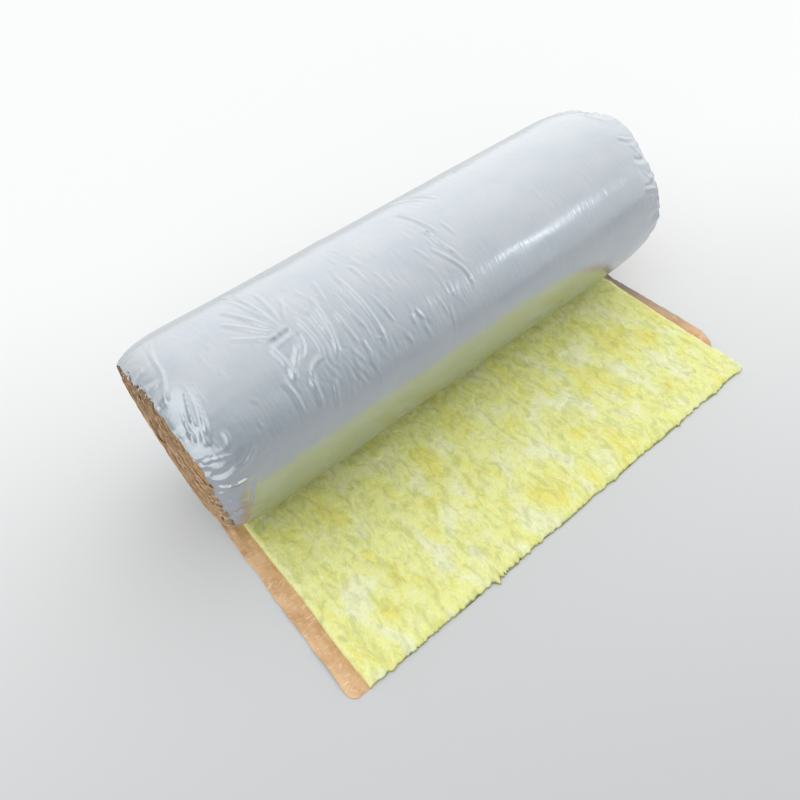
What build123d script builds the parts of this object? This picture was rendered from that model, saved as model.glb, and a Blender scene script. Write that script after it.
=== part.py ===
from build123d import *
from math import cos, floor, radians, sin, sqrt
import os

# Roll of faced glass wool with its free end rolled out on the floor. Sizes in mm.
# X runs along the roll, Z is up, and the free end points to -Y.

# Blanket
blanket_width = 1200
loose_thickness = 22
wound_thickness = 17
roll_radius = 230
unrolled_length = 581
floor_sag = 3
edge_softness = 9
eye_radius = 40

# Facing sheet and its free tabs
facing_thickness = 0.5
tab_width = 50
tab_lean = 20
tab_seat = 10
shoulder_length = 60
eye_clearance = 2
sheet_end_step = 2

# Tabs of the unrolled end
left_floor_tab = 42
left_corner_radius = 28
right_tab_cut_length = 95
right_tab_torn_length = 50
right_tab_torn_width = 22

# Derived positions
half_width = blanket_width / 2
half_turn_step = wound_thickness / 2
lean_sine = sin(radians(tab_lean))
shoulder_radius = shoulder_length / lean_sine
shoulder_drop = shoulder_radius * (1 - cos(radians(tab_lean)))
tab_drop = shoulder_drop + tab_width * lean_sine
tab_reach = tab_width * cos(radians(tab_lean))
roll_y = (unrolled_length - roll_radius) / 2
cut_y = roll_y - unrolled_length
back_axis_z = roll_radius - floor_sag
front_axis_z = back_axis_z + half_turn_step
flat_half_width = sqrt(2 * roll_radius * floor_sag - floor_sag**2)
eye_z = back_axis_z + half_turn_step / 2
tab_room = roll_radius - tab_drop - eye_radius - eye_clearance - half_turn_step / 2
last_half_turn = floor(tab_room / half_turn_step)

# Plane that holds the roll's axis, and the placing of what is cut off below the floor
joint_plane = Plane.XZ.offset(-roll_y)
below_floor = (Align.CENTER, Align.CENTER, Align.MAX)


def axis_height(half_turn):
    # Back halves turn about one line and front halves about a line half a step higher
    return back_axis_z if half_turn % 2 == 0 else front_axis_z


def half_turn_axis(half_turn):
    # Back halves sweep the top down to +Y, front halves sweep it down to -Y
    direction = (-1, 0, 0) if half_turn % 2 == 0 else (1, 0, 0)
    return Axis((0, roll_y, axis_height(half_turn)), direction)


def shoulder_point(top_z, depth, sine):
    # Point on the shoulder at this depth under the sheet's outer face, where its slope has this sine
    radius = shoulder_radius - depth
    return (half_width - shoulder_length + radius * sine, top_z - shoulder_radius + radius * sqrt(1 - sine**2))


def tab_tip(edge_point):
    return (edge_point[0] + tab_reach, edge_point[1] - tab_width * lean_sine)


def sheet_section(half_turn):
    # Right half of the sheet's strip section. The two outer half turns run on from the
    # roll's middle, the inner ones start at their seat in the end of the wool.
    top_z = axis_height(half_turn) + roll_radius - half_turn * half_turn_step
    start_sine = 0 if half_turn < 2 else (shoulder_length - tab_seat) / shoulder_radius
    outer_start = shoulder_point(top_z, 0, start_sine)
    outer_edge = shoulder_point(top_z, 0, lean_sine)
    inner_start = shoulder_point(top_z, facing_thickness, start_sine)
    inner_edge = shoulder_point(top_z, facing_thickness, lean_sine)
    with BuildSketch(joint_plane) as section:
        with BuildLine():
            if half_turn < 2:
                Polyline(inner_start, (0, inner_start[1]), (0, outer_start[1]), outer_start)
            else:
                Line(inner_start, outer_start)
            RadiusArc(outer_start, outer_edge, shoulder_radius)
            Polyline(outer_edge, tab_tip(outer_edge), tab_tip(inner_edge), inner_edge)
            RadiusArc(inner_edge, inner_start, facing_thickness - shoulder_radius)
        make_face()
    return section.sketch


def wool_section(half_turn):
    # Upper half of the wound body's section, out to the sheet's outer face
    axis_z = axis_height(half_turn)
    top_z = axis_z + roll_radius - half_turn * half_turn_step
    shoulder_x = half_width - shoulder_length
    edge_z = top_z - shoulder_drop
    with BuildSketch(joint_plane) as section:
        with BuildLine():
            Polyline((half_width, edge_z), (half_width, axis_z), (-half_width, axis_z), (-half_width, edge_z))
            RadiusArc((-half_width, edge_z), (-shoulder_x, top_z), shoulder_radius)
            Line((-shoulder_x, top_z), (shoulder_x, top_z))
            RadiusArc((shoulder_x, top_z), (half_width, edge_z), shoulder_radius)
        make_face()
    return section.sketch


# Facing: the outer turn cut flat on the floor, the tabs of the inner turns, and the sheet
# under the free end
with BuildPart() as facing:
    revolve(sheet_section(0), axis=half_turn_axis(0), revolution_arc=180)
    with Locations((0, roll_y, 0)):
        Box(blanket_width, roll_radius, roll_radius, align=below_floor, mode=Mode.SUBTRACT)
    for half_turn in range(1, last_half_turn + 1):
        revolve(sheet_section(half_turn), axis=half_turn_axis(half_turn), revolution_arc=180)
    mirror(about=Plane.YZ)
    with BuildSketch(Plane.XY):
        with BuildLine():
            left_x = -half_width - left_floor_tab
            right_x = half_width + tab_reach
            torn_x = right_x - right_tab_torn_width
            tab_end_y = cut_y + right_tab_cut_length
            torn_y = tab_end_y + right_tab_torn_length
            end_y = roll_y + flat_half_width - sheet_end_step
            corner_x = left_x + left_corner_radius
            corner_y = cut_y + left_corner_radius
            left_corner = CenterArc((corner_x, corner_y), left_corner_radius, 180, 90)
            Polyline(
                left_corner @ 1,
                (half_width, cut_y),
                (half_width, tab_end_y - tab_seat),
                (torn_x, tab_end_y),
                (right_x, torn_y),
                (right_x, roll_y),
                (half_width, roll_y),
                (half_width - shoulder_length, end_y),
                (shoulder_length - half_width, end_y),
                (-half_width, roll_y),
                (left_x, roll_y),
                left_corner @ 0,
            )
        make_face()
    extrude(amount=facing_thickness)

# Free end of the blanket, soft along its three outer top edges
with BuildPart() as floor_layer:
    with BuildSketch(Plane.XY):
        with Locations((0, (roll_y + cut_y) / 2)):
            Rectangle(blanket_width, unrolled_length)
    extrude(amount=loose_thickness)
    top_face = floor_layer.faces().sort_by(Axis.Z)[-1]
    fillet(top_face.edges().sort_by(Axis.Y)[:-1], radius=edge_softness)

# Blanket: two half discs, the free end, the eye, and room for the sheet
with BuildPart() as glass_wool:
    revolve(wool_section(0), axis=half_turn_axis(0), revolution_arc=180)
    with Locations((0, roll_y, 0)):
        Box(blanket_width, roll_radius, roll_radius, align=below_floor, mode=Mode.SUBTRACT)
    revolve(wool_section(1), axis=half_turn_axis(1), revolution_arc=180)
    add(floor_layer.part)
    with Locations((0, roll_y, eye_z)):
        Cylinder(eye_radius, blanket_width, rotation=(0, 90, 0), mode=Mode.SUBTRACT)
    add(facing.part, mode=Mode.SUBTRACT)

facing.part.label = "facing"
glass_wool.part.label = "glass_wool"

os.makedirs("parts", exist_ok=True)
export_step(facing.part, "parts/facing.step")
export_step(glass_wool.part, "parts/glass_wool.step")
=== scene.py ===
import math
import bpy
import numpy as np
from mathutils import Matrix, Vector


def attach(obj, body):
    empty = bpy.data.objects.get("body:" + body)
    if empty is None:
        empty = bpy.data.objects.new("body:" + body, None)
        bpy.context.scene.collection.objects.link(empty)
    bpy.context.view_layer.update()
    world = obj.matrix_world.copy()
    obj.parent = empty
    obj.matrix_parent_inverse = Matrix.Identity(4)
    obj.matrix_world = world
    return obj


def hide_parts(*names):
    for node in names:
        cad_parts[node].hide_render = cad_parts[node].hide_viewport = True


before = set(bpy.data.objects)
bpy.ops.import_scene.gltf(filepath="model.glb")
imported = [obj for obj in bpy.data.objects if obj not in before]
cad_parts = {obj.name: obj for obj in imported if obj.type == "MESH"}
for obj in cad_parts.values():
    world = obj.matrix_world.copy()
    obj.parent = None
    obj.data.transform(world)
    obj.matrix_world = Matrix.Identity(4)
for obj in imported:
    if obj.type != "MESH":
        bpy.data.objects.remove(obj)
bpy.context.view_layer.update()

bpy.ops.object.select_all(action="DESELECT")

# The roll as it was wound, in metres: X along the roll, the free end towards -Y.
roll = {
    "axisY": 0.1755,
    "radius": 0.230,
    "pitch": 0.017,        # blanket and facing, pressed together by the winding
    "sag": 0.003,          # how far the roll is pressed flat on the floor
    "freeEnd": 0.581,      # blanket rolled out, from under the axis to the cut
    "halfTurns": 21,
    "width": 1.2,
    "tab": 0.050,
    "shoulder": 0.060,
    "film": 0.0005,
    "lowest": 0.00005,     # the sheet stays this far above the floor
}


def sheetPath(s):
    # outer face of the sheet at length s from the cut: a flat run, then half turns about two lines
    s = np.asarray(s, dtype=float)
    y = roll["axisY"] - roll["freeEnd"] + s
    z = np.zeros_like(s)
    ny = np.zeros_like(s)
    nz = -np.ones_like(s)
    turned = np.zeros_like(s)
    start = roll["freeEnd"]
    for half in range(roll["halfTurns"] + 1):
        r = roll["radius"] - half * roll["pitch"] / 2
        side = 1 if half % 2 == 0 else -1
        centre = roll["radius"] - roll["sag"] + (0 if side == 1 else roll["pitch"] / 2)
        on = s > start
        a = (s - start) / r
        y = np.where(on, roll["axisY"] + side * r * np.sin(a), y)
        z = np.where(on, centre - side * r * np.cos(a), z)
        ny = np.where(on, side * np.sin(a), ny)
        nz = np.where(on, -side * np.cos(a), nz)
        turned = np.where(on, half * math.pi + a, turned)
        start += math.pi * r
    return y, z, ny, nz, turned


def lengthAt(halfTurns):
    # length of sheet from the cut to the end of this many half turns
    return roll["freeEnd"] + sum(
        math.pi * (roll["radius"] - half * roll["pitch"] / 2) for half in range(halfTurns))


def smooth(a, b, v):
    t = np.clip((v - a) / (b - a), 0, 1)
    return t * t * (3 - 2 * t)


def latticeNoise(u, v, seed, around=0):
    # soft noise from about -1 to 1, one lump a unit, closing on itself after `around` units of v
    cells = 256
    turn = np.random.default_rng(seed).random((cells, cells)) * 2 * math.pi
    gx, gy = np.cos(turn), np.sin(turn)
    iu, iv = np.floor(u).astype(int), np.floor(v).astype(int)
    fu, fv = u - iu, v - iv

    def corner(du, dv):
        a, b = (iu + du) % cells, (iv + dv) % (around or cells)
        return gx[a, b] * (fu - du) + gy[a, b] * (fv - dv)

    su = fu ** 3 * (fu * (fu * 6 - 15) + 10)
    sv = fv ** 3 * (fv * (fv * 6 - 15) + 10)
    low = corner(0, 0) * (1 - su) + corner(1, 0) * su
    high = corner(0, 1) * (1 - su) + corner(1, 1) * su
    return 1.5 * (low * (1 - sv) + high * sv)


def layeredNoise(u, v, seed, octaves=3, around=0, creased=False):
    # noise in layers, each half as large and half as high as the last, with sharp ridges if creased
    total = np.zeros(np.broadcast(u, v).shape)
    size, height = 1, 1.0
    for octave in range(octaves):
        layer = latticeNoise(u * size, v * size, seed + octave, around * size)
        total += height * ((0.35 - np.abs(layer)) * 2 if creased else layer)
        size, height = size * 2, height * 0.5
    return total


def zigzag(v):
    # sharp folds from -1 to 1, one fold a unit
    return 4 * np.abs(v - np.floor(v + 0.5)) - 1


def nearPath(x, s, path, reach):
    # the part of the grid round a path of (x, s) points: its rows and columns, the distance from
    # the path (below 0 on its left) and the share of the path that is passed
    path = np.array(path, dtype=float)
    if len(path) > 2:
        # a curve through the points, as eight short runs
        t = np.linspace(0, 1, 9)
        knots = np.linspace(0, 1, len(path))
        fit = np.polyfit(knots, path, min(3, len(path) - 1))
        path = np.stack([np.polyval(fit[:, i], t) for i in (0, 1)], axis=1)
    c0, c1 = np.searchsorted(x, [path[:, 0].min() - reach, path[:, 0].max() + reach])
    r0, r1 = np.searchsorted(s, [path[:, 1].min() - reach, path[:, 1].max() + reach])
    px, ps = np.meshgrid(x[c0:c1], s[r0:r1])
    best = np.full(px.shape, 1e9)
    side = np.zeros(px.shape)
    along = np.zeros(px.shape)
    runs = np.hypot(*np.diff(path, axis=0).T)
    total = runs.sum()
    done = 0.0
    for (ax, ay), (bx, by), run in zip(path[:-1], path[1:], runs):
        t = np.clip(((px - ax) * (bx - ax) + (ps - ay) * (by - ay)) / run ** 2, 0, 1)
        dx, dy = px - ax - t * (bx - ax), ps - ay - t * (by - ay)
        d = np.hypot(dx, dy)
        near = d < best
        best = np.where(near, d, best)
        side = np.where(near, np.where(dx * (by - ay) - dy * (bx - ax) < 0, -1, 1), side)
        along = np.where(near, (done + t * run) / total, along)
        done += run
    return (slice(r0, r1), slice(c0, c1)), best * side, along


def pressCrease(height, x, s, path, depth, width, skew=0.0, fade=(0.15, 0.3)):
    # raises (or with a negative depth dents) a sharp crease with a shallow trough on each side
    window, offset, along = nearPath(x, s, path, width * 4.5)
    away = np.abs(offset) / (width * (1 + skew * np.sign(offset)))
    shape = np.exp(-away ** 1.25) - 0.35 * np.exp(-((away - 2.2) / 0.9) ** 2)
    height[window] += depth * shape * smooth(0, fade[0], along) * smooth(0, fade[1], 1 - along)


def foldWedge(height, x, s, path, depth, width):
    # raises a fold that widens along its path, with a facet to its left and a narrower, steeper
    # one to its right
    window, offset, along = nearPath(x, s, path, width * 1.6)
    grown = 0.15 + 0.85 * along
    steep = 0.75
    away = np.abs(offset) / (width * grown * np.where(offset < 0, 1, steep))
    height[window] += (depth * grown * np.clip(1 - away, 0, 1)
                       * smooth(0, 0.12, along) * smooth(0, 0.35, 1 - along))


def gridFaces(rows, columns, first):
    a = first + np.arange(rows - 1)[:, None] * columns + np.arange(columns - 1)[None, :]
    return np.stack([a, a + 1, a + 1 + columns, a + columns], axis=-1).reshape(-1, 4)


def gridNormals(grid):
    # unit normals of a grid of points, towards the side where its rows and columns turn left
    rows, columns = np.gradient(grid, axis=0), np.gradient(grid, axis=1)
    normal = np.cross(rows, columns)
    return normal / np.maximum(np.linalg.norm(normal, axis=2, keepdims=True), 1e-12)


def makeMesh(name, points, faces, uv):
    mesh = bpy.data.meshes.new(name)
    mesh.from_pydata(points.tolist(), [], faces)
    piece = bpy.data.objects.new(name, mesh)
    bpy.context.scene.collection.objects.link(piece)
    corners = np.empty(len(mesh.loops), dtype=np.int32)
    mesh.loops.foreach_get("vertex_index", corners)
    mesh.uv_layers.new(name="sheet").data.foreach_set("uv", uv[corners].ravel())
    return piece


def workOn(piece):
    bpy.ops.object.select_all(action="DESELECT")
    piece.select_set(True)
    bpy.context.view_layer.objects.active = piece


def faceOutwards(piece):
    workOn(piece)
    bpy.ops.object.mode_set(mode="EDIT")
    bpy.ops.mesh.select_all(action="SELECT")
    bpy.ops.mesh.normals_make_consistent(inside=False)
    bpy.ops.object.mode_set(mode="OBJECT")


def thinOut(piece, triangles, spare=None):
    # fewer faces where the sheet is smooth, so that they are kept for the creases. Where spare is
    # given, only what is nearer than that to the middle of the roll is thinned.
    now = sum(len(p.vertices) - 2 for p in piece.data.polygons)
    if now > triangles:
        workOn(piece)
        cut = piece.modifiers.new("Decimate", "DECIMATE")
        cut.ratio = triangles / now
        if spare:
            places = np.empty(len(piece.data.vertices) * 3)
            piece.data.vertices.foreach_get("co", places)
            middle = np.flatnonzero(np.abs(places[0::3]) < spare)
            group = piece.vertex_groups.new(name="middle")
            group.add(middle.tolist(), 1.0, "REPLACE")
            cut.vertex_group = group.name
            cut.vertex_group_factor = 1.0
        bpy.ops.object.modifier_apply(modifier=cut.name)
    print(piece.name, "triangles", sum(len(p.vertices) - 2 for p in piece.data.polygons))


def closedSheet(name, outer, inner, uv, keep):
    # joins the two sides of a sheet round its rim. The inner side has only the columns in keep,
    # so that its hidden middle is coarse.
    rows, columns = outer.shape[:2]
    keep = list(keep)
    thin = inner[:, keep]
    points = np.concatenate([outer.reshape(-1, 3), thin.reshape(-1, 3)])
    uvs = np.concatenate([uv.reshape(-1, 2), uv[:, keep].reshape(-1, 2)])
    first = rows * columns
    n = len(keep)
    outside = gridFaces(rows, columns, 0)
    inside = gridFaces(rows, n, first)[:, [0, 3, 2, 1]]
    rim = []
    for row in (0, rows - 1):
        for i in range(n - 1):
            top = [row * columns + c for c in range(keep[i], keep[i + 1] + 1)]
            rim.append([first + row * n + i] + top + [first + row * n + i + 1])
    for r in range(rows - 1):
        for c, i in ((0, 0), (columns - 1, n - 1)):
            rim.append([r * columns + c, first + r * n + i, first + (r + 1) * n + i, (r + 1) * columns + c])
    piece = makeMesh(name, points, outside.tolist() + inside.tolist() + rim, uvs)
    slots = np.ones(len(piece.data.polygons), dtype=np.int32)
    slots[:len(outside)] = 0
    piece.data.polygons.foreach_set("material_index", slots)
    faceOutwards(piece)
    return piece


# The tabs, by angle from the top towards the free end: how many degrees they lean in, and the share
# of their width that is left. The near side of the left end is crushed and torn short.
tabs = {
    "left": [(-180, 16, 1.0), (-130, 17, 1.0), (-90, 20, 1.0), (-50, 23, 1.0), (-28, 25, 0.96),
             (-12, 29, 0.86), (0, 28, 0.80), (15, 24, 0.78), (33, 22, 0.78), (44, 22, 0.80),
             (56, 23, 0.75), (75, 24, 0.68), (100, 24, 0.60), (135, 20, 0.80), (180, 16, 1.0)],
    "right": [(-180, 16, 1.0), (-120, 16, 1.0), (-50, 15, 1.0), (-22, 15, 1.0), (-8, 13, 1.0),
              (2, 6, 1.08), (14, 5, 1.12), (30, 8, 1.0), (42, 13, 1.0), (60, 5, 1.02),
              (85, 3, 1.06), (110, 10, 1.0), (140, 16, 1.0), (180, 16, 1.0)],
    "leanInside": 24,
    "edgeLean": 0.45,      # share of the lean that the blanket's own edge has
    "curl": 1.1,           # how much more the tab turns by its tip, as a share of the lean
    "shorter": 0.07,       # each turn inside is shorter than the one outside it by this share
    "uneven": 0.05,        # how much the width varies from place to place
    "unevenShort": 0.70,   # how much more it varies where the tab is torn short
    "pleatDepth": 0.0032,
    "pleatDepthInside": 0.0058,
    "pleatsAround": 30,
    "crumple": 0.0008,
    "crumpleInside": 0.0028,
    "lastHalfTurn": 19,
    "insideFrom": (0.98, 1.06),    # turns wound, from and to where the tabs change to the inner ones
    "step": 0.0042,
    "seat": 0.014,         # the inner tabs start this far inside the blanket's edge
    "columns": 16,
}


def angleFromTop(turned):
    # winding angle to degrees from the top, positive towards the free end
    return np.degrees(turned) % 360 - 180


def tabShape(w, s, turned):
    # the edge of each turn leans over the end of the roll: each column's place along the roll,
    # its drop towards the axis, how far it is past the blanket from 0 to 1, and 0 on the flat run
    start = roll["width"] / 2 - roll["shoulder"]
    past = np.maximum(np.abs(w) - start, 0)[None, :]
    wound = smooth(roll["freeEnd"] - 0.10, roll["freeEnd"] + 0.02, s)[:, None]
    angle = angleFromTop(turned)
    outerTurn = []
    for column in (1, 2):
        left, right = [np.interp(angle, *np.array(tabs[end])[:, (0, column)].T) for end in ("left", "right")]
        outerTurn.append(np.where(w[None, :] < 0, left[:, None], right[:, None]))
    lean, share = outerTurn
    ring = turned[:, None] / (2 * math.pi)
    inside = smooth(*tabs["insideFrom"], ring)
    uneven = tabs["uneven"] + tabs["unevenShort"] * np.maximum(1 - share, 0.10 * inside)
    lean = lean * (1 - inside) + np.maximum(lean, tabs["leanInside"]) * inside
    share = share * (1 - tabs["shorter"] * np.maximum(ring - 0.6, 0) * inside)
    around = ring % 1
    rough = latticeNoise(ring * 0.8 + np.sign(w)[None, :], around * 17, seed=71, around=17)
    rough = rough + 0.9 * layeredNoise(ring * 0.8, around * 28, seed=72, octaves=1, around=28, creased=True)
    wide = roll["tab"] * np.minimum(share * (1 + uneven * rough), np.maximum(share, 1))
    mean = np.radians(lean) * wound + 1e-4
    edge, curl = tabs["edgeLean"] * mean, tabs["curl"] * mean
    on = np.minimum(past, roll["shoulder"])
    beyond = np.clip((past - roll["shoulder"]) / roll["tab"], 0, 1)
    out = roll["shoulder"] / edge * np.sin(edge * on / roll["shoulder"])
    out += wide / curl * (np.sin(edge + curl * beyond) - np.sin(edge))
    drop = roll["shoulder"] / edge * (1 - np.cos(edge * on / roll["shoulder"]))
    drop += wide / curl * (np.cos(edge) - np.cos(edge + curl * beyond))
    x = np.where(np.abs(w)[None, :] <= start, w[None, :], np.sign(w)[None, :] * (start + out))
    return x, drop, beyond, wound


def tabPleats(w, turned, beyond, wound):
    # sharp folds that open towards the tip, alike from turn to turn so that the turns stay apart
    ring = turned[:, None] / (2 * math.pi)
    around, layer = ring % 1, ring * 0.35
    gw = w[None, :]
    bend = 0.9 * latticeNoise(layer + gw / 0.09, around * 24, seed=31, around=24)
    deeper = latticeNoise(layer * 1.7 + gw * 2, around * 30, seed=33, around=30)
    fold = zigzag(around * tabs["pleatsAround"] + bend) * (0.55 + 0.8 * deeper)
    small = layeredNoise(gw / 0.03 + layer, around * 60, seed=41, octaves=2, around=60, creased=True)
    # the turns inside and the far side of the outer one are crushed, its near side is only pleated
    inside = np.maximum(smooth(*tabs["insideFrom"], ring), smooth(-20, -60, angleFromTop(turned))[:, None])
    shrink = 0.35 + 0.65 * (1 - ring * roll["pitch"] / roll["radius"])
    deep = tabs["pleatDepth"] * (1 - inside) + tabs["pleatDepthInside"] * inside
    rough = tabs["crumple"] * (1 - inside) + tabs["crumpleInside"] * inside
    return wound * shrink * (deep * fold * beyond ** 0.8 + rough * small * beyond)


def placeSheet(s, relief, x, drop):
    # points of the sheet, raised by its relief and leaned in by its drop, and never under the floor
    y, z, ny, nz, _ = sheetPath(s)
    h = relief - drop
    lift = np.maximum(-z, 0)
    py = y[:, None] + ny[:, None] * h
    pz = z[:, None] + nz[:, None] * h + lift[:, None]
    return np.stack([x * np.ones_like(py), py, np.maximum(pz, roll["lowest"])], axis=-1)


# Facing: the sheet under the free end and the whole outer turn
skin = {
    "fineStep": 0.0032,
    "coarseStep": 0.0075,
    "fineAngles": (-35, 125),      # rows are close together between these degrees from the top
    "triangles": 190000,
    "sagWaves": 0.0013,
    "crumple": 0.0004,
    # the crushed ends, left and right: from and to how far out, and how much
    "crushed": [(-1, 0.36, 0.61, 1), (1, 0.44, 0.62, 0.6)],
    # heights of the tabs' ripples on the floor, and of what is added near the roll, by length
    "ripple": 0.0034,
    "fineRipple": 0.0010,
    "nearRoll": (0.30, 0.56),
    "nearRollLift": 0.003,
    "nearRollCrumple": 0.0035,
    "cutWave": 0.0022,        # how much the cut edges of those tabs wander
    "creaseScale": 0.90,
    "hiddenDepth": 0.0052,    # the unseen side lies this deep in the blanket
    "hiddenEdge": (0.545, 0.570),    # from and to where it comes up to follow the film
    "setBack": 0.003,         # the sheet ends this far behind the blanket's cut
    "deepest": 0.0042,        # dents stop short of this depth
    "seed": 7,
    # the tabs on the floor: the left one's width, and how far its round corner is cut in and along
    "leftTab": (0.042, 0.024, 0.030),
    # the right one's width by length from the cut, torn off before it
    "rightTab": [(0.0, 0.002), (0.085, 0.003), (0.110, 0.028), (0.150, 0.045), (0.30, 0.044),
                 (0.48, 0.038), (0.58, 0.034)],
    # creases that run round the roll, as (x, degrees from the top) along each, then depth and width in mm
    "hoops": [
        ([(-0.210, 5), (-0.200, 24), (-0.197, 42), (-0.198, 52), (-0.209, 58)], 2.6, 3.4),
        ([(-0.278, 9), (-0.284, 26), (-0.291, 38), (-0.316, 50)], 2.8, 3.6),
        ([(-0.331, 18), (-0.324, 33), (-0.331, 45)], 2.6, 3.4),
        ([(-0.306, 17), (-0.303, 31), (-0.309, 46)], -2.2, 3.6),
        ([(-0.250, 2), (-0.259, 20)], 1.8, 3.2),
        ([(-0.167, 6), (-0.162, 22)], 1.8, 3.0),
        ([(-0.234, 14), (-0.229, 30), (-0.218, 44)], 1.9, 2.8),
        ([(-0.260, 25), (-0.252, 47)], 1.9, 2.8),
        ([(-0.137, 16), (-0.129, 33)], 1.6, 2.8),
        ([(-0.173, 26), (-0.166, 38), (-0.156, 48)], 1.9, 2.8),
        ([(0.010, -13), (0.033, 6), (0.046, 18)], 3.2, 3.6),
        ([(0.022, 9), (0.030, 22), (0.051, 35)], 3.4, 3.4),
        ([(0.000, 20), (0.021, 31), (0.042, 42), (0.040, 57)], 1.9, 3.0),
        ([(0.066, 11), (0.074, 23)], 2.2, 3.0),
        ([(-0.009, 42), (-0.010, 53)], 1.2, 2.8),
        ([(-0.029, 17), (-0.015, 28)], 1.8, 2.8),
        ([(0.060, -28), (0.096, -16), (0.118, -3)], 2.2, 3.4),
        ([(0.040, -30), (0.070, -17), (0.086, -6)], -1.8, 3.4),
        ([(-0.108, 45), (-0.097, 54)], 1.4, 2.8),
        ([(-0.030, 53), (-0.038, 72)], 1.1, 3.0),
    ],
    # creases that fan out from a pinch
    "fan": [
        ([(-0.438, -14), (-0.390, 10), (-0.362, 19)], 2.8, 3.6),
        ([(-0.390, -22), (-0.370, 12), (-0.360, 18)], 2.6, 3.4),
        ([(-0.356, -12), (-0.358, 16)], 2.4, 3.2),
        ([(-0.324, 2), (-0.354, 18)], 2.8, 3.2),
        ([(-0.455, -4), (-0.400, 13), (-0.364, 20)], 2.4, 3.6),
        ([(-0.412, -28), (-0.382, 6), (-0.362, 18)], 2.0, 3.2),
        ([(-0.462, 8), (-0.410, 17), (-0.366, 21)], 1.8, 3.6),
        ([(-0.350, 21), (-0.379, 22), (-0.410, 23)], -5.0, 4.6),
        ([(-0.408, 23), (-0.399, 34), (-0.398, 46)], 3.0, 4.4),
        ([(-0.354, 30), (-0.385, 38), (-0.405, 45)], 3.2, 5.0),
        ([(-0.346, 24), (-0.352, 32), (-0.372, 36)], -2.8, 4.5),
        ([(-0.327, 41), (-0.362, 45), (-0.369, 54)], 3.2, 4.6),
        ([(-0.378, 46), (-0.372, 56), (-0.384, 66)], 2.2, 4.4),
        ([(-0.424, 40), (-0.415, 52), (-0.420, 62)], 1.6, 4.0),
        ([(-0.330, 54), (-0.342, 62), (-0.350, 72)], 2.2, 4.0),
    ],
    # pleats that run in from the two ends
    "pleats": [
        ([(-0.577, -20), (-0.590, -6), (-0.600, 6)], 1.8, 3.6),
        ([(-0.646, 55.5), (-0.604, 56), (-0.568, 60)], 3.8, 3.0),
        ([(-0.646, 71), (-0.600, 74), (-0.556, 74)], 3.8, 3.0),
        ([(-0.640, 63), (-0.605, 65), (-0.575, 62)], -2.6, 6.0),
        ([(-0.640, 83), (-0.610, 86), (-0.585, 88)], 3.0, 3.2),
        ([(-0.585, 93), (-0.572, 85), (-0.562, 77)], 2.0, 3.4),
        ([(-0.636, 94), (-0.600, 96), (-0.560, 98)], -2.5, 6.0),
        ([(-0.566, 45), (-0.570, 53), (-0.600, 52)], 1.4, 3.8),
        ([(-0.530, 60), (-0.556, 66), (-0.590, 68)], 1.4, 3.8),
        ([(0.596, -30), (0.622, -21), (0.645, -17)], 2.6, 5.0),
        ([(0.600, 22), (0.628, 27), (0.648, 26)], 3.0, 4.0),
        ([(0.606, 38), (0.630, 42), (0.648, 40)], -3.4, 5.0),
        ([(0.600, 60), (0.628, 62), (0.648, 66)], 2.6, 4.5),
    ],
    # folds that open towards the ends, with depth and width of the facet in mm
    "wedges": [
        ([(-0.5915, -4), (-0.5994, 8), (-0.6192, 17), (-0.632, 24)], 9.5, 18),
        ([(-0.583, 15), (-0.586, 22), (-0.602, 35), (-0.612, 42)], 8.0, 13),
        ([(-0.571, 24), (-0.5785, 33), (-0.5913, 42), (-0.598, 47)], 8.5, 14),
        ([(-0.6095, 26), (-0.613, 31), (-0.622, 40), (-0.630, 47)], 6.0, 12),
        ([(-0.597, 36), (-0.600, 41), (-0.607, 50)], 8.0, 18),
        ([(-0.613, -11), (-0.622, -8), (-0.634, -3)], 4.0, 8),
        ([(-0.585, -28), (-0.591, -11), (-0.596, 2)], 2.5, 8),
        ([(0.600, -12), (0.612, 2), (0.628, 9)], 4.0, 10),
        ([(0.618, 26), (0.630, 36), (0.646, 44)], 4.0, 9),
        ([(0.612, 48), (0.630, 54), (0.648, 58)], 3.5, 8),
    ],
    # short random creases, close on the left and few on the right: how many, from and to which x
    # and which degrees from the top, and their depth in mm
    "short": [
        (90, -0.34, -0.08, -15, 62, 1.1), (40, -0.10, 0.12, -35, 55, 0.9), (30, 0.10, 0.56, -60, 60, 0.5),
        (50, -0.56, -0.34, -40, 70, 1.0), (170, -0.56, 0.56, -178, -25, 1.6), (24, -0.55, 0.5, 70, 110, 0.7),
    ],
    "shortLength": (0.02, 0.075),
    "shortWidth": (0.0020, 0.0038),
}


def lengthAtAngle(degrees):
    # length of sheet at this angle from the top of the outer turn, positive towards the free end
    r = roll["radius"] - (roll["pitch"] / 2 if degrees > 0 else 0)
    return lengthAt(1) + r * math.radians(degrees)


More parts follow.
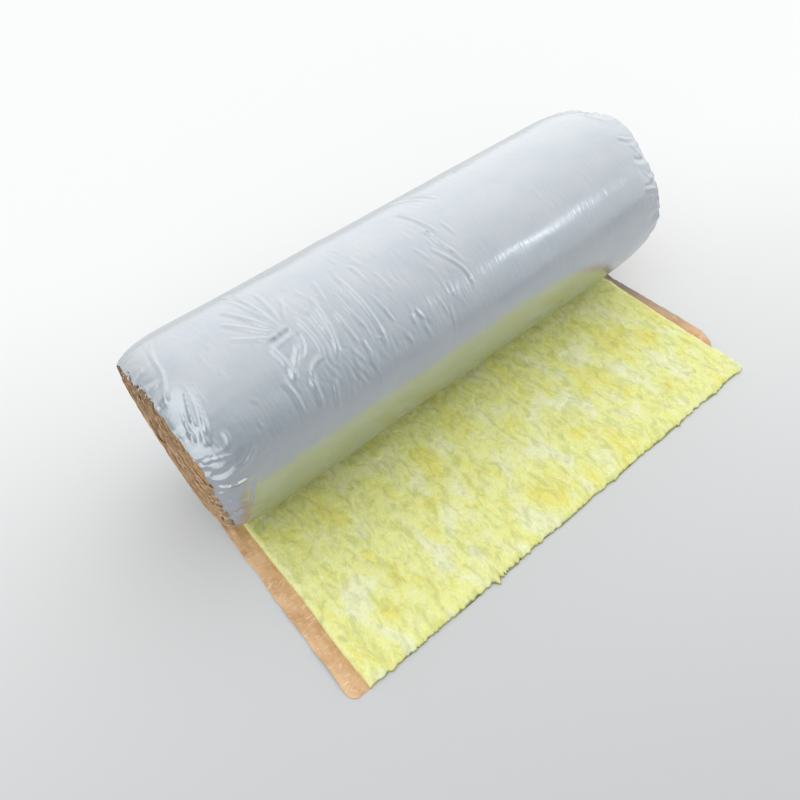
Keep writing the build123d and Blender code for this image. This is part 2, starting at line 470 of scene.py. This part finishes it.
def skinRelief(w, s, turned, beyond, wound):
    rng = np.random.default_rng(skin["seed"])
    gw, gs = np.meshgrid(w, s)
    waves = layeredNoise(gw / 0.26 + 9, gs / 0.21, seed=11, octaves=2)
    waves = waves + 0.5 * layeredNoise(gw / 0.10, gs / 0.085 + 4, seed=12, octaves=2)
    relief = skin["sagWaves"] * waves
    ends = sum(share * smooth(low, high, side * gw) for side, low, high, share in skin["crushed"])
    relief += skin["crumple"] * ends * layeredNoise(gw / 0.085, gs / 0.06, seed=21, creased=True)
    for creases, scale in (("hoops", skin["creaseScale"]), ("fan", skin["creaseScale"]), ("pleats", 1)):
        for path, depth, width in skin[creases]:
            # most fall steeply to the right, towards the light
            pressCrease(relief, w, s, [(x, lengthAtAngle(a)) for x, a in path],
                        depth * scale / 1000, width / 1000, rng.uniform(-0.45, 0.05))
    for path, depth, width in skin["wedges"]:
        foldWedge(relief, w, s, [(x, lengthAtAngle(a)) for x, a in path], depth / 1000, width / 1000)
    for count, lowX, highX, lowA, highA, deep in skin["short"]:
        for _ in range(count):
            x, a = rng.uniform(lowX, highX), rng.uniform(lowA, highA)
            length = rng.uniform(*skin["shortLength"])
            slant, bow = rng.normal(0.05, 0.22), rng.normal(0, 0.006)
            low = lengthAtAngle(a)
            reach = slant * length / 2
            path = [(x - reach, low), (x + bow, low + length / 2), (x + reach, low + length)]
            depth = deep * skin["creaseScale"] * rng.choice([1, 1, -0.7]) * rng.uniform(0.4, 1) / 1000
            width, skew = rng.uniform(*skin["shortWidth"]), rng.uniform(-0.45, 0.15)
            pressCrease(relief, w, s, path, depth, width, skew, fade=(0.35, 0.45))
    # no dent goes through to the blanket
    relief = np.where(relief < 0, -skin["deepest"] * np.tanh(-relief / skin["deepest"]), relief)
    relief += tabPleats(w, turned, beyond, wound)
    # the flat run: the sheet lies still under the blanket, its tabs ripple
    flat = 1 - wound
    nearRoll = smooth(*skin["nearRoll"], gs)
    ripple = skin["ripple"] * (0.4 + latticeNoise(gs / 0.13, gw * 0 + 0.3, seed=51))
    fine = layeredNoise(gs / 0.045, gw / 0.05, seed=52, octaves=2, creased=True)
    ripple = ripple + skin["fineRipple"] * fine
    crumple = layeredNoise(gs / 0.022, gw / 0.035, seed=53, creased=True)
    ripple += nearRoll * (skin["nearRollLift"] + skin["nearRollCrumple"] * crumple)
    return relief * (1 - flat) - np.maximum(ripple, 0) * flat * smooth(0.0, 0.5, beyond)


def buildSkin():
    # rows close together where the photo shows the roll, and further apart behind and below it
    last = lengthAt(2)
    low, high = skin["fineAngles"]
    rows = []
    at = skin["setBack"]
    while at < last:
        rows.append(at)
        angle = math.degrees((at - lengthAt(1)) / roll["radius"])
        at += skin["fineStep"] if low < angle < high else skin["coarseStep"]
    s = np.array(rows + [last])
    half = roll["width"] / 2 + roll["tab"]
    w = np.linspace(-half, half, int(2 * half / skin["fineStep"]) + 1)
    turned = sheetPath(s)[4]
    x, drop, beyond, wound = tabShape(w, s, turned)
    relief = skinRelief(w, s, turned, beyond, wound)
    outer = placeSheet(s, relief, x, drop)
    # the hidden inner side is smooth and lies deeper, but near both edges it follows the film
    nearEdge = np.maximum(smooth(*skin["hiddenEdge"], np.abs(w))[None, :], 1 - wound)
    under = relief * nearEdge - skin["hiddenDepth"] * (1 - nearEdge)
    inner = placeSheet(s, under, x, drop)
    inner -= roll["film"] * nearEdge[..., None] * gridNormals(outer)
    for grid in (outer, inner):
        trimFlatTabs(grid, s, w)
    uv = np.stack(np.meshgrid(w, s), axis=-1)
    # of the hidden side's middle, one column in 24 is enough
    middle = np.abs(w) < roll["width"] / 2 - 0.045
    keep = [i for i in range(len(w)) if not middle[i] or i % 24 == 0]
    piece = closedSheet("facingSkin", outer, inner, uv, keep)
    thinOut(piece, skin["triangles"], spare=roll["width"] / 2 - 0.04)
    return piece


def trimFlatTabs(grid, s, w):
    # the left tab is cut round at the corner, the right one is torn off before the cut
    half = roll["width"] / 2
    gw, gs = np.meshgrid(w, s)
    wave = skin["cutWave"] * layeredNoise(gs / 0.06, gs * 0 + 0.7, seed=61)
    flat = 1 - smooth(roll["freeEnd"] - 0.06, roll["freeEnd"], gs)
    wide, cornerIn, cornerLong = skin["leftTab"]
    beforeCorner = 1 - np.clip(gs / cornerLong, 0, 1)
    left = wide + wave - cornerIn * (1 - np.sqrt(np.clip(1 - beforeCorner ** 2, 0, 1)))
    right = np.interp(gs + 2 * wave, *np.array(skin["rightTab"]).T)
    over = np.clip((np.abs(gw) - half) / roll["tab"], 0, 1)
    squeezed = np.sign(gw) * (np.minimum(np.abs(gw), half) + over * np.where(gw < 0, left, right))
    grid[..., 0] = np.where(np.abs(gw) > half, grid[..., 0] * (1 - flat) + squeezed * flat, grid[..., 0])


facingSkin = buildSkin()
print("facing skin made")


# The edges of the inner turns, which stand out of both ends of the wound blanket
def buildTabs(name, side):
    s = np.arange(lengthAt(2), lengthAt(tabs["lastHalfTurn"]), tabs["step"])
    half = roll["width"] / 2
    w = side * np.linspace(half - tabs["seat"], half + roll["tab"], tabs["columns"])
    turned = sheetPath(s)[4]
    x, drop, beyond, wound = tabShape(w, s, turned)
    outer = placeSheet(s, tabPleats(w, turned, beyond, wound), x, drop)
    inner = outer - side * roll["film"] * gridNormals(outer)
    uv = np.stack(np.meshgrid(w, s), axis=-1)
    piece = closedSheet(name, outer, inner, uv, range(len(w)))
    thinOut(piece, skin["triangles"])
    return piece


facingTabsLeft = buildTabs("facingTabsLeft", -1)
facingTabsRight = buildTabs("facingTabsRight", 1)
print("facing tabs made")


# Blanket: the free end, and the wound body behind the tabs
wool = {
    "loose": 0.0215,       # thickness of the free end
    "step": 0.0042,
    "inset": 0.0055,       # the outer turn lies this far under the facing, clear of its dents
    "gap": 0.0010,
    "edge": 0.010,         # how far the long sides are rounded
    "rowsPerTurn": 40,
    "triangles": 230000,
    "waves": 0.0018,
    "lumps": 0.0010,
    "ridges": 0.0007,
    "ragged": 0.0013,
    "cutPress": 0.74,      # the knife pressed the cut edge down by this share
    "cutPressFade": 0.016,
    "sideWave": 0.0015,
    # loose tufts on the cut edge: place along it, how far they stick out, half width
    "tufts": [(-0.262, 0.012, 0.008), (-0.240, 0.005, 0.012), (0.345, 0.009, 0.007), (-0.475, 0.004, 0.012),
              (0.110, 0.004, 0.016), (0.500, 0.005, 0.012)],
    # how far the long sides swell past the true width, by length from the cut
    "rightSide": [(0, 0.009), (0.04, 0.005), (0.10, 0.000), (0.18, 0.001), (0.30, 0.004),
                  (0.42, 0.008), (0.52, 0.010), (0.58, 0.006)],
    "leftSide": [(0, -0.001), (0.10, 0.002), (0.25, -0.001), (0.40, 0.003), (0.58, 0.002)],
}


def woolGrid():
    # columns over the width and rows along the length, each with its share of the full height
    half = roll["width"] / 2
    turn = np.radians([0, 22, 45, 68, 90])
    inward = np.concatenate([[0, 0], wool["edge"] * (1 - np.cos(turn))[1:]])
    rise = np.concatenate([[0.02, 0.50], 0.54 + 0.46 * np.sin(turn)[1:]])
    middle = np.arange(-half + wool["edge"] + wool["step"], half - wool["edge"], wool["step"])
    for x, _, wide in wool["tufts"]:
        middle = np.union1d(middle, x + np.arange(-1.4 * wide, 1.4 * wide, 0.0011))
    w = np.concatenate([-half + inward, middle, half - inward[::-1]])
    across = np.concatenate([rise, np.ones(len(middle)), rise[::-1]])
    # up the cut face, along the free end, then by equal angles through the turns
    free = np.arange(0.010, roll["freeEnd"] + 0.02, wool["step"])
    wound = []
    for halfTurn in range(roll["halfTurns"]):
        part = np.linspace(lengthAt(halfTurn), lengthAt(halfTurn + 1), wool["rowsPerTurn"] // 2 + 1)[:-1]
        wound += [at for at in part if at > free[-1] + 0.01]
    s = np.concatenate([[0, 0.0004, 0.0012, 0.0030, 0.0060], free, wound])
    along = np.concatenate([[0.02, 0.35, 0.70, 0.90, 0.98], np.ones(len(free) + len(wound))])
    return w, across, s, along


def woolThickness(gw, gs, turned):
    # thickness, loose on the floor and pressed in the roll, and how far in from the film it starts
    thick = wool["loose"] + wool["waves"] * layeredNoise(gw / 0.15, gs / 0.11, seed=81, octaves=2)
    thick = thick + wool["lumps"] * layeredNoise(gw / 0.028, gs / 0.022, seed=83, octaves=2)
    thick += wool["ridges"] * layeredNoise(gw / 0.013 + 0.12 * gs / 0.013, gs / 0.06, seed=84, octaves=2)
    thick *= 1 - wool["cutPress"] * np.exp(-gs / wool["cutPressFade"])
    # the room under the roll, and a soft change to it
    y = roll["axisY"] - roll["freeEnd"] + gs
    off = y - roll["axisY"]
    r = roll["radius"] - roll["pitch"] / 2
    under = (roll["radius"] - roll["sag"] + roll["pitch"] / 2
             - np.sqrt(np.maximum(r ** 2 - off ** 2, 0)) + 0.0005)
    under = np.where(np.abs(off) < r - 0.001, under, 1)
    blend = 0.0015
    thick = -blend * np.log(np.exp(-thick / blend) + np.exp(-np.minimum(under, 0.2) / blend))
    halfTurn = np.maximum(turned / math.pi, 0)[:, None]
    inset = wool["inset"] * smooth(roll["freeEnd"], roll["freeEnd"] + 0.12, gs) * smooth(2.4, 1.8, halfTurn)
    packed = roll["pitch"] - roll["film"] - wool["gap"] - inset
    into = smooth(roll["freeEnd"] - 0.05, roll["freeEnd"], gs)
    return thick * (1 - into) + packed * into, inset


def raggedCut(w, gs):
    # how far each column is pulled back or forth near the cut, with a few tufts drawn out
    level = w * 0
    ragged = wool["ragged"] * (layeredNoise(w / 0.07, level + 0.4, seed=85, octaves=2)
                               + 2.6 * layeredNoise(w / 0.013, level + 0.4, seed=86, octaves=2, creased=True))
    teeth = 0.62 + 0.38 * zigzag(w / 0.0065 + 0.8 * latticeNoise(w / 0.011, level + 0.2, seed=88))
    for x, out, wide in wool["tufts"]:
        ragged = ragged - out * np.exp(-np.abs((w - x) / wide) ** 3) * teeth
    return ragged[None, :] * (1 - smooth(0.0, 0.05, gs))


def buildWool():
    w, across, s, along = woolGrid()
    half = roll["width"] / 2
    gw, gs = np.meshgrid(w, s)
    y, z, ny, nz, turned = sheetPath(s)
    thick, inset = woolThickness(gw, gs, turned)
    height = thick * across[None, :] * along[:, None]
    shift = raggedCut(w, gs)
    x, drop, _, wound = tabShape(w, s, turned)
    swell = wool["sideWave"] * layeredNoise(gs / 0.06, np.sign(gw) * 3 + 0.5, seed=87)
    swell += np.where(gw > 0, np.interp(gs, *np.array(wool["rightSide"]).T),
                      np.interp(gs, *np.array(wool["leftSide"]).T))
    swell *= smooth(half - 0.05, half, np.abs(gw)) * (1 - wound)
    lift = np.maximum(-z, 0)[:, None]
    surfaces = []
    for h in (height, height * 0):
        deep = roll["film"] + inset + h + drop
        surfaces.append(np.stack([x + np.sign(x) * swell * np.ones_like(h),
                                  y[:, None] - ny[:, None] * deep + shift,
                                  z[:, None] - nz[:, None] * deep + lift], axis=-1))
    uv = np.stack([gw, gs], axis=-1)
    # the underside keeps its edges and one column in 14
    keep = [i for i in range(len(w)) if abs(w[i]) > half - 0.03 or i % 14 == 0]
    piece = closedSheet("glassWoolBlanket", *surfaces, uv, keep)
    # wool on both sides
    piece.data.polygons.foreach_set("material_index", np.zeros(len(piece.data.polygons), dtype=np.int32))
    thinOut(piece, wool["triangles"])
    return piece


blanket = buildWool()
print("blanket made")


# Materials
def linear(hexColour):
    # sRGB hex to the linear colour that the shaders take
    parts = [int(hexColour[i:i + 2], 16) / 255 for i in (0, 2, 4)]
    return tuple(v / 12.92 if v <= 0.04045 else ((v + 0.055) / 1.055) ** 2.4 for v in parts) + (1,)


def addNode(tree, kind, inputs=None, stops=(), **settings):
    # a node with its settings, and stops of place and colour where it is a colour ramp; an input is
    # a value, or the output that it is linked to
    new = tree.nodes.new("ShaderNode" + kind)
    for name, value in settings.items():
        setattr(new, name, value)
    for name, value in (inputs or {}).items():
        if isinstance(value, bpy.types.NodeSocket):
            tree.links.new(value, new.inputs[name])
        else:
            new.inputs[name].default_value = value
    if stops:
        ramp = new.color_ramp.elements
        for place, _ in stops[1:-1]:
            ramp.new(place)
        for point, (place, colour) in zip(ramp, stops):
            point.position, point.color = place, colour
    return new


def newMaterial(name):
    material = bpy.data.materials.new(name)
    material.use_nodes = True
    tree = material.node_tree
    tree.nodes.clear()
    return material, tree


def layPatterns(tree, sheet, patterns):
    # noise on the flat sheet, by name: size across and along in mm, turn in radians, shift, settings
    laid = {}
    for name, (acrossMm, alongMm, turn, shift, settings) in patterns.items():
        scale = (1000 / acrossMm, 1000 / alongMm, 1)
        place = addNode(tree, "Mapping", {"Vector": sheet, "Location": (shift, shift, 0),
                                          "Rotation": (0, 0, turn), "Scale": scale})
        noise = addNode(tree, "TexNoise", {"Vector": place.outputs["Vector"], "Scale": 1, **settings})
        laid[name] = noise.outputs["Fac"]
    return laid


def finishMaterial(tree, shader):
    addNode(tree, "OutputMaterial", {"Surface": shader.outputs[0]})


film = {
    "silver": "b8bcc0",
    "cool": "b2b8be",
    "metallic": 0.83,
    "smoothest": 0.21,
    "roughest": 0.28,
    "dimpleDeepMm": 0.50,
    "ribDeepMm": 0.60,
    "patterns": {
        "tone": (90, 70, 0, 0, {"Detail": 5, "Roughness": 0.6}),
        "dimple": (15, 30, 0, 0, {"Detail": 2}),
        "rib": (6.5, 60, 0.05, 0, {"Detail": 2}),      # coarser than the real grain, so that it shows
    },
}


def metallisedFilm():
    # aluminium-coated polypropylene film glued on paper: a bright, slightly broken mirror with
    # fine ribs round the roll, as the paper's grain shows through
    material, tree = newMaterial("Metallised film laminate")
    sheet = addNode(tree, "UVMap", uv_map="sheet").outputs["UV"]
    pattern = layPatterns(tree, sheet, film["patterns"])
    tint = addNode(tree, "ValToRGB", {"Fac": pattern["tone"]},
                   stops=[(0.35, linear(film["cool"])), (0.65, linear(film["silver"]))])
    rough = addNode(tree, "MapRange", {"Value": pattern["tone"], "From Min": 0.3, "From Max": 0.7,
                                       "To Min": film["smoothest"], "To Max": film["roughest"]})
    soft = addNode(tree, "Bump", {"Height": pattern["dimple"], "Distance": film["dimpleDeepMm"] / 1000,
                                  "Strength": 0.7})
    ribs = addNode(tree, "Bump", {"Height": pattern["rib"], "Distance": film["ribDeepMm"] / 1000,
                                  "Strength": 0.8, "Normal": soft.outputs["Normal"]})
    finishMaterial(tree, addNode(tree, "BsdfPrincipled", {
        "Base Color": tint.outputs["Color"], "Metallic": film["metallic"],
        "Roughness": rough.outputs["Result"], "Normal": ribs.outputs["Normal"]}))
    return material


kraft = {
    "brown": "dcb58b",
    "dark": "b98a58",
    "crease": "f2d9b8",
    # paler colour of the wound tabs: painted light on the roll's ends
    "wound": "fbd3ab",
    # dark lines on the wound tabs: painted shade in the folds and gaps between turns
    "fold": "75492a",
    # darker right floor tab near the roll: painted shade
    "rightTabShade": "75614c",
    "roughness": 0.38,
    "creaseDeepMm": 2.0,
    "pulpDeepMm": 0.6,
    "patterns": {
        "pulp": (40, 80, 0, 0, {"Detail": 7, "Roughness": 0.6}),
        "lines": (44, 11, 0.25, 0, {"Detail": 1, "Distortion": 0.4}),
        "folds": (7, 63, 0.12, 0, {"Detail": 3, "Distortion": 0.5}),
    },
}


def kraftPaper():
    # calendered kraft paper, waxed by the glue: golden brown, half glossy, with thin pale creases across it
    material, tree = newMaterial("Kraft paper")
    sheet = addNode(tree, "UVMap", uv_map="sheet").outputs["UV"]
    pattern = layPatterns(tree, sheet, kraft["patterns"])
    place = addNode(tree, "SeparateXYZ", {"Vector": sheet})
    along = place.outputs["Y"]
    # a thin line where the noise passes its middle
    centred = addNode(tree, "Math", {0: pattern["lines"], 1: 0.5}, operation="SUBTRACT")
    fromLine = addNode(tree, "Math", {0: centred.outputs["Value"]}, operation="ABSOLUTE").outputs["Value"]
    # masks between two limits, up to a share: the creases; the wound tabs, painted paler as painted light,
    # with dark lines as painted shade in the deep folds and gaps between turns; and painted shade on the
    # right tab where it comes out from under the roll
    mask = {}
    for name, value, low, high, most in (
            ("crease", fromLine, 0.022, 0.0, 0.5), ("foldPaintedShade", pattern["folds"], 0.42, 0.34, 1),
            ("wound", along, 0.60, 0.68, 1), ("woundPaintedLight", along, 0.60, 0.68, 0.9),
            ("nearRoll", along, 0.15, 0.42, 1), ("rightTab", place.outputs["X"], 0.55, 0.60, 1)):
        share = addNode(tree, "MapRange", {"Value": value, "From Min": low, "From Max": high, "To Max": most})
        mask[name] = share.outputs["Result"]
    # painted shade: dark lines on the wound tabs, and the right tab darkened near the roll
    foldShadeShare = addNode(tree, "Math", {0: mask["wound"], 1: mask["foldPaintedShade"]}, operation="MULTIPLY")
    rightTabNearRoll = addNode(tree, "Math", {0: mask["nearRoll"], 1: mask["rightTab"]}, operation="MULTIPLY")
    tabPaintedShade = addNode(tree, "Math", {0: rightTabNearRoll.outputs["Value"], 1: mask["wound"]}, operation="SUBTRACT",
                      use_clamp=True)
    brown = addNode(tree, "ValToRGB", {"Fac": pattern["pulp"]},
                    stops=[(0.30, linear(kraft["dark"])), (0.65, linear(kraft["brown"]))])
    colour = brown.outputs["Color"]
    # the wound tabs' paler colour is painted light; the fold lines and the right tab's darkening are painted
    # shade
    for share, name in ((mask["crease"], "crease"), (mask["woundPaintedLight"], "wound"),
                        (foldShadeShare.outputs["Value"], "fold"), (tabPaintedShade.outputs["Value"], "rightTabShade")):
        layer = addNode(tree, "Mix", {0: share, 6: colour, 7: linear(kraft[name])}, data_type="RGBA")
        colour = layer.outputs[2]
    fold = addNode(tree, "Bump", {"Height": pattern["lines"], "Distance": kraft["creaseDeepMm"] / 1000,
                                  "Strength": 0.6})
    grain = addNode(tree, "Bump", {"Height": pattern["pulp"], "Distance": kraft["pulpDeepMm"] / 1000,
                                   "Strength": 0.5, "Normal": fold.outputs["Normal"]})
    finishMaterial(tree, addNode(tree, "BsdfPrincipled", {
        "Base Color": colour, "Roughness": kraft["roughness"], "IOR": 1.5,
        "Normal": grain.outputs["Normal"]}))
    return material


fibre = {
    "yellow": "edee9b",
    "pale": "f2f2c1",
    "deep": "ede67c",
    "white": "f7f7e0",
    # painted shade on the stretch near the roll
    "shaded": "c8c860",
    "side": "f8f6b0",
    # painted shade on the cut face
    "cut": "83866c",
    # painted shade in the hollows between clumps and strands, and painted highlight on the strands: what the
    # colour is multiplied by there
    "clumpHollowShade": (0.80, 0.81, 0.73, 1),
    "strandHollowShade": (0.83, 0.83, 0.79, 1),
    "strandTopHighlight": (1.04, 1.04, 1.04, 1),
    "strandDeepMm": 1,
    "clumpDeepMm": 8,
    "streakDeepMm": 3,
    "patterns": {
        "patch": (70, 105, 0.15, 3, {"Detail": 4, "Distortion": 0.6, "Roughness": 0.52}),
        "streak": (15, 48, 0.12, 5, {"Detail": 6, "Distortion": 1.0, "Roughness": 0.66}),
        "clump": (20, 40, 0.12, 9, {"Detail": 5, "Distortion": 0.9, "Roughness": 0.55}),
        # far thicker than the real fibre, which is too fine to show
        "strand": (1.3, 7, 0.15, 0, {"Detail": 3, "Distortion": 0.6, "Roughness": 0.55}),
        "crossed": (1.3, 7, 0.75, 7, {"Detail": 3, "Distortion": 0.6, "Roughness": 0.55}),
        "crossedBack": (1.3, 7, -0.55, 13, {"Detail": 3, "Distortion": 0.6, "Roughness": 0.55}),
    },
}


def glassWool():
    # spun glass fibre bonded with resin: a matt, pale yellow felt. The strands lie mostly along the
    # blanket, with whiter streaks where they are dense and stronger yellow where resin has gathered.
    material, tree = newMaterial("Glass wool")
    sheet = addNode(tree, "UVMap", uv_map="sheet").outputs["UV"]
    pattern = layPatterns(tree, sheet, fibre["patterns"])
    place = addNode(tree, "SeparateXYZ", {"Vector": sheet})
    along = place.outputs["Y"]
    fromMiddle = addNode(tree, "Math", {0: place.outputs["X"]}, operation="ABSOLUTE").outputs["Value"]
    tone = addNode(tree, "ValToRGB", {"Fac": pattern["patch"]},
                   stops=[(0.36, linear(fibre["deep"])), (0.46, linear(fibre["yellow"])),
                          (0.52, linear(fibre["yellow"])), (0.62, linear(fibre["pale"]))])
    colour = tone.outputs["Color"]
    # dense streaks, painted shade on the stretch near the roll, and both long sides
    for value, low, high, most, name in (
            (pattern["streak"], 0.48, 0.75, 0.42, "white"), (along, 0.18, 0.44, 0.42, "shaded"),
            (fromMiddle, 0.588, 0.598, 0.7, "side")):
        share = addNode(tree, "MapRange", {"Value": value, "From Min": low, "From Max": high, "To Max": most})
        layer = addNode(tree, "Mix", {0: share.outputs["Result"], 6: colour, 7: linear(fibre[name])},
                        data_type="RGBA")
        colour = layer.outputs[2]
    # painted shade in the hollows between clumps and between strands, and painted highlight on the strands
    upper = addNode(tree, "Math", {0: pattern["strand"], 1: pattern["crossed"]}, operation="MAXIMUM")
    felt = addNode(tree, "Math", {0: upper.outputs["Value"], 1: pattern["crossedBack"]}, operation="ADD")
    raised = addNode(tree, "MapRange", {"Value": felt.outputs["Value"], "From Min": 0.85, "From Max": 1.30})
    for height, stops in (
            (pattern["clump"], [(0.34, fibre["clumpHollowShade"]), (0.54, (1, 1, 1, 1))]),
            (raised.outputs["Result"], [(0.0, fibre["strandHollowShade"]), (1.0, fibre["strandTopHighlight"])])):
        shade = addNode(tree, "ValToRGB", {"Fac": height}, stops=stops)
        layer = addNode(tree, "Mix", {0: 1.0, 6: colour, 7: shade.outputs["Color"]}, data_type="RGBA",
                        blend_type="MULTIPLY")
        colour = layer.outputs[2]
    # the cut face, where the first few millimetres of the map go up the edge, is painted dark grey towards
    # its foot: painted shade under the cut edge
    cutFaceShade = addNode(tree, "MapRange", {"Value": along, "From Min": 0.0024, "From Max": 0.0003,
                                         "To Max": 0.85})
    final = addNode(tree, "Mix", {0: cutFaceShade.outputs["Result"], 6: colour, 7: linear(fibre["cut"])},
                    data_type="RGBA")
    bump = addNode(tree, "Bump", {"Height": felt.outputs["Value"], "Distance": fibre["strandDeepMm"] / 1000,
                                  "Strength": 0.6})
    tuft = addNode(tree, "Bump", {"Height": pattern["clump"], "Distance": fibre["clumpDeepMm"] / 1000,
                                  "Strength": 0.7, "Normal": bump.outputs["Normal"]})
    swell = addNode(tree, "Bump", {"Height": pattern["streak"], "Distance": fibre["streakDeepMm"] / 1000,
                                   "Strength": 0.5, "Normal": tuft.outputs["Normal"]})
    finishMaterial(tree, addNode(tree, "BsdfPrincipled", {
        "Base Color": final.outputs[2], "Roughness": 0.85, "IOR": 1.45, "Normal": swell.outputs["Normal"],
        "Sheen Weight": 0.1, "Sheen Roughness": 0.6}))
    return material


filmMaterial = metallisedFilm()
kraftMaterial = kraftPaper()
woolMaterial = glassWool()
for piece in (facingSkin, facingTabsLeft, facingTabsRight):
    piece.data.materials.append(filmMaterial)
    piece.data.materials.append(kraftMaterial)
    workOn(piece)
    bpy.ops.object.shade_smooth_by_angle(angle=math.radians(50))
    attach(piece, "root")
blanket.data.materials.append(woolMaterial)
workOn(blanket)
bpy.ops.object.shade_smooth()
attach(blanket, "root")
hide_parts("facing")
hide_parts("glass_wool")
print("materials and pieces set")


# Stage: a pale floor whose colour is painted brighter towards the right and the back as painted light
# fall-off, and a soft room that is brighter the same way
studio = {
    # the floor's colour from dim to bright is painted light fall-off
    "floorPaintedDim": "b4b4b5",
    "floorPaintedBright": "e2e2e1",
    "floorTowards": (0.40, 0.92, 0),       # the way it gets brighter, and from and to how many metres
    "floorFade": (-1.5, 1.0),
    "floorRadius": 9.0,
    "floorLevel": -0.0006,
    "lightFrom": (0.700, 0.666, 0.256),
    # brightness of the room by how far a direction leans to the light, -1 to 1
    "room": [(-1.0, 0.28), (-0.5, 0.54), (-0.13, 0.90), (0.40, 1.23), (1.0, 1.66)],
    "roomStrength": 1.66,
    # soft boxes on the left, above and low in front: direction, cosines of rim and core, brightness
    "boxes": [((-0.45, -0.15, 0.88), 0.84, 0.95, 0.75), ((-0.70, -0.65, 0.30), 0.74, 0.97, 1.35)],
    # a small lamp far off gives the thin bright line along the roll
    "lamp": (2.18, -2.07, 1.79),
    "lampAim": (0.3, 0, 0.4),
    "lampSize": 0.20,
    "lampPower": 1.25,
}


def buildFloor():
    bpy.ops.object.select_all(action="DESELECT")
    bpy.ops.mesh.primitive_circle_add(vertices=96, radius=studio["floorRadius"], fill_type="NGON",
                                      location=(0, 0, studio["floorLevel"]))
    floor = bpy.context.object
    floor.name = "floor"
    bpy.ops.object.mode_set(mode="EDIT")
    bpy.ops.mesh.inset(thickness=0.3, depth=0)
    bpy.ops.object.mode_set(mode="OBJECT")
    bpy.ops.object.transform_apply(location=True, rotation=True, scale=True)
    # matt floor, its colour whiter towards the light: painted light fall-off
    material, tree = newMaterial("Matt floor")
    spot = addNode(tree, "TexCoord").outputs["Object"]
    there = addNode(tree, "VectorMath", {0: spot, 1: studio["floorTowards"]}, operation="DOT_PRODUCT")
    low, high = studio["floorFade"]
    share = addNode(tree, "MapRange", {"Value": there.outputs["Value"], "From Min": low, "From Max": high},
                    interpolation_type="SMOOTHSTEP")
    paintedFalloff = addNode(tree, "Mix", {0: share.outputs["Result"], 6: linear(studio["floorPaintedDim"]),
                                  7: linear(studio["floorPaintedBright"])}, data_type="RGBA")
    finishMaterial(tree, addNode(tree, "BsdfPrincipled", {"Base Color": paintedFalloff.outputs[2], "Roughness": 0.9}))
    floor.data.materials.append(material)


def lightRoom():
    world = bpy.data.worlds.new("studio")
    bpy.context.scene.world = world
    world.use_nodes = True
    tree = world.node_tree
    tree.nodes.clear()
    towards = addNode(tree, "TexCoord").outputs["Generated"]
    lean = addNode(tree, "VectorMath", {0: towards, 1: studio["lightFrom"]}, operation="DOT_PRODUCT")
    share = addNode(tree, "MapRange", {"Value": lean.outputs["Value"], "From Min": -1, "From Max": 1})
    stops = []
    for place, bright in studio["room"]:
        # the dim side is a little bluer
        dim = max(0.0, 0.5 - place) / 1.5
        part = bright / studio["roomStrength"]
        colour = (part * (1 - 0.11 * dim), part, min(part * (1 + 0.07 * dim), 1), 1)
        stops.append(((place + 1) / 2, colour))
    level = addNode(tree, "ValToRGB", {"Fac": share.outputs["Result"]}, stops=stops)
    room = addNode(tree, "Background", {"Color": level.outputs["Color"], "Strength": studio["roomStrength"]})
    for place, rim, core, bright in studio["boxes"]:
        near = addNode(tree, "VectorMath", {0: towards, 1: place}, operation="DOT_PRODUCT")
        glow = addNode(tree, "MapRange", {"Value": near.outputs["Value"], "From Min": rim, "From Max": core,
                                          "To Max": bright}, interpolation_type="SMOOTHSTEP")
        box = addNode(tree, "Background", {"Strength": glow.outputs["Result"]})
        room = addNode(tree, "AddShader", {0: room.outputs[0], 1: box.outputs[0]})
    addNode(tree, "OutputWorld", {"Surface": room.outputs[0]})

    bpy.ops.object.light_add(type="AREA", location=studio["lamp"])
    lamp = bpy.context.object
    lamp.name = "lineLamp"
    lamp.data.shape = "DISK"
    lamp.data.size = studio["lampSize"]
    lamp.data.energy = studio["lampPower"]
    aim = Vector(studio["lampAim"]) - Vector(studio["lamp"])
    lamp.rotation_euler = aim.to_track_quat("-Z", "Y").to_euler()


# fitted to the roll's outline, the cut edge and both sides of the free end; angles in degrees
view = {"place": (-0.7299, -0.7949, 1.3750), "yaw": 34.6445, "pitch": 51.3805, "tilt": -6.031, "lens": 30.772}


def placeCamera():
    bpy.ops.object.camera_add()
    camera = bpy.context.object
    camera.data.lens = view["lens"]
    camera.data.sensor_width = 36
    camera.data.clip_start = 0.05
    camera.matrix_world = (Matrix.Translation(view["place"])
                           @ Matrix.Rotation(math.radians(-view["yaw"]), 4, "Z")
                           @ Matrix.Rotation(math.radians(90 - view["pitch"]), 4, "X")
                           @ Matrix.Rotation(math.radians(view["tilt"]), 4, "Z"))
    bpy.context.scene.camera = camera


buildFloor()
lightRoom()
placeCamera()
bpy.context.scene.view_settings.view_transform = "Standard"
print("stage, light and camera set")

bpy.context.view_layer.update()
